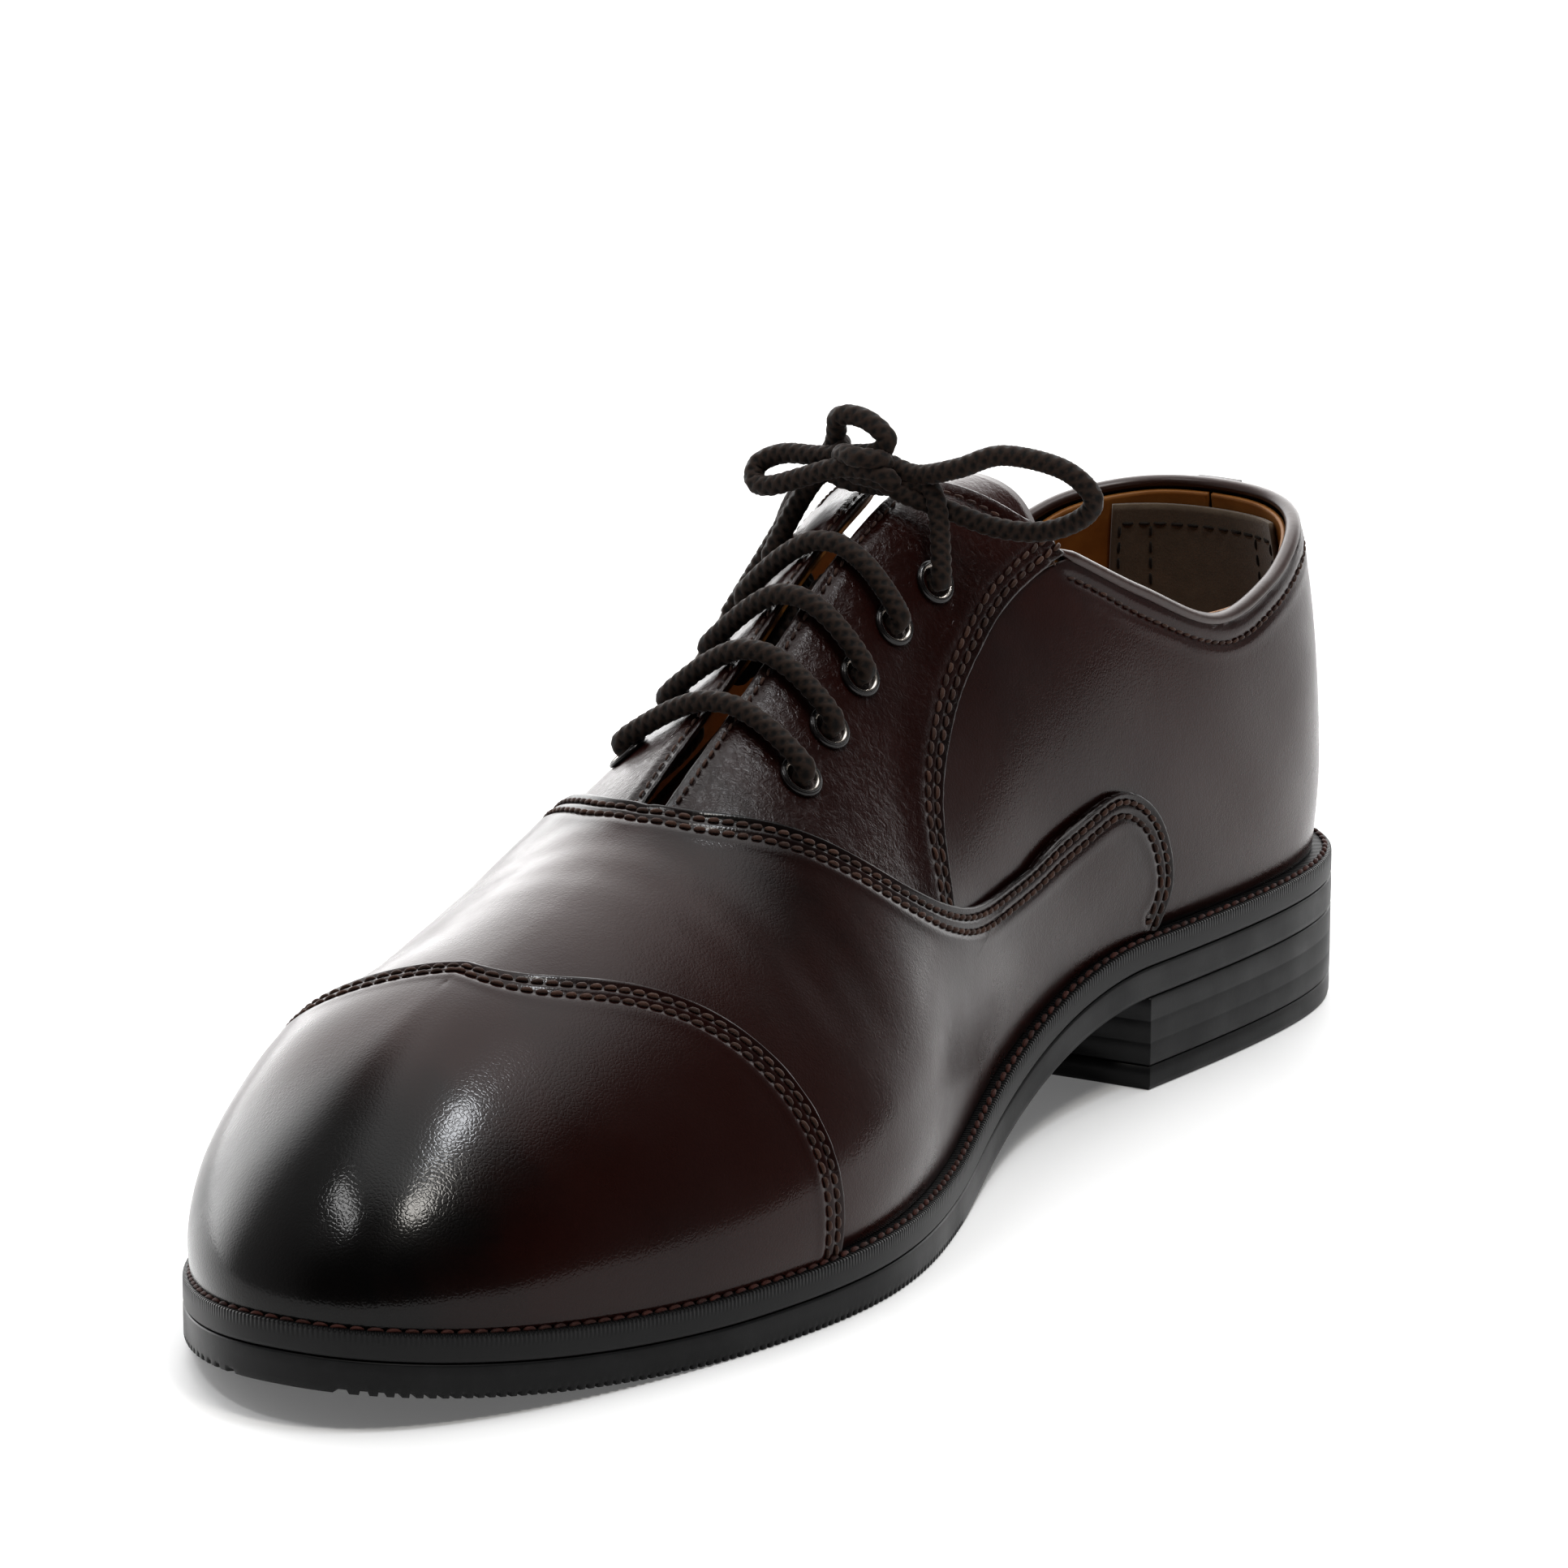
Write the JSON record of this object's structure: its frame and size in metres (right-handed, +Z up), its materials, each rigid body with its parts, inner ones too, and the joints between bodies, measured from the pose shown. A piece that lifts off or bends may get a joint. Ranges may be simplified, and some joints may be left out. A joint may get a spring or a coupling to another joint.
{
  "type": "shoe",
  "caption": "Right-foot cap-toe oxford shoe in burgundy-brown leather, laced and tied in a bow, on a black rubber sole with a straight heel",
  "frame": {"origin": "the point on the ground under the middle of the heel, 33 mm forward of the heel back", "axes": "+X points to the inner (medial) side of the foot, +Y from the toe towards the heel back, +Z up from the ground"},
  "size_m": [0.0988, 0.2963, 0.1208],
  "materials": {
    "upper_leather": "gloss",
    "lining_leather": "matte",
    "stiffener": "matte",
    "suede_lining": "matte",
    "eyelet_metal": "gloss",
    "lace_cord": "matte",
    "aglet_plastic": "gloss",
    "black_rubber": "satin",
    "shank_steel": "satin",
    "cork": "matte",
    "insole_fibre": "matte",
    "foam": "matte",
    "stitch_thread": "matte"
  },
  "bodies": {
    "rearfoot": {"quarter_medial": "upper_leather", "quarter_lateral": "upper_leather", "facing_medial": "upper_leather", "facing_lateral": "upper_leather", "heel_tab": "upper_leather", "topline_binding": "upper_leather", "quarter_lining_medial": "lining_leather", "quarter_lining_lateral": "lining_leather", "heel_counter": "stiffener", "heel_grip": "suede_lining", "eyelets_medial": "eyelet_metal", "eyelets_lateral": "eyelet_metal", "lace": "lace_cord", "aglets": "aglet_plastic", "outsole_rear": "black_rubber", "welt": "black_rubber", "shank": "shank_steel", "cork_filler": "cork", "insole_board": "insole_fibre", "heel_pad": "foam", "sock_liner": "lining_leather", "heel_block": "black_rubber", "heel_top_piece": "black_rubber", "heel_nails": "shank_steel", "welt_stitch": "stitch_thread", "vamp": "upper_leather", "vamp_lining": "lining_leather"},
    "forefoot": {"toe_cap": "upper_leather", "toe_puff": "stiffener", "outsole_forepart": "black_rubber"},
    "tongue": {"tongue": "upper_leather", "tongue_lining": "lining_leather"}
  },
  "joints": [
    {"name": "toe_flex", "type": "hinge", "parent": "rearfoot", "child": "forefoot", "pos_m": [0, -0.181, 0.012], "axis": [-1, 0, 0], "range_deg": [0, 25], "stiffness_Nm_per_rad": 3, "deforming": ["welt", "cork_filler", "insole_board", "sock_liner", "vamp", "vamp_lining", "welt_stitch"]},
    {"name": "tongue_hinge", "type": "hinge", "parent": "rearfoot", "child": "tongue", "pos_m": [0, -0.163, 0.056], "axis": [-1, 0, 0], "range_deg": [0, 8], "stiffness_Nm_per_rad": 0.5}
  ]
}
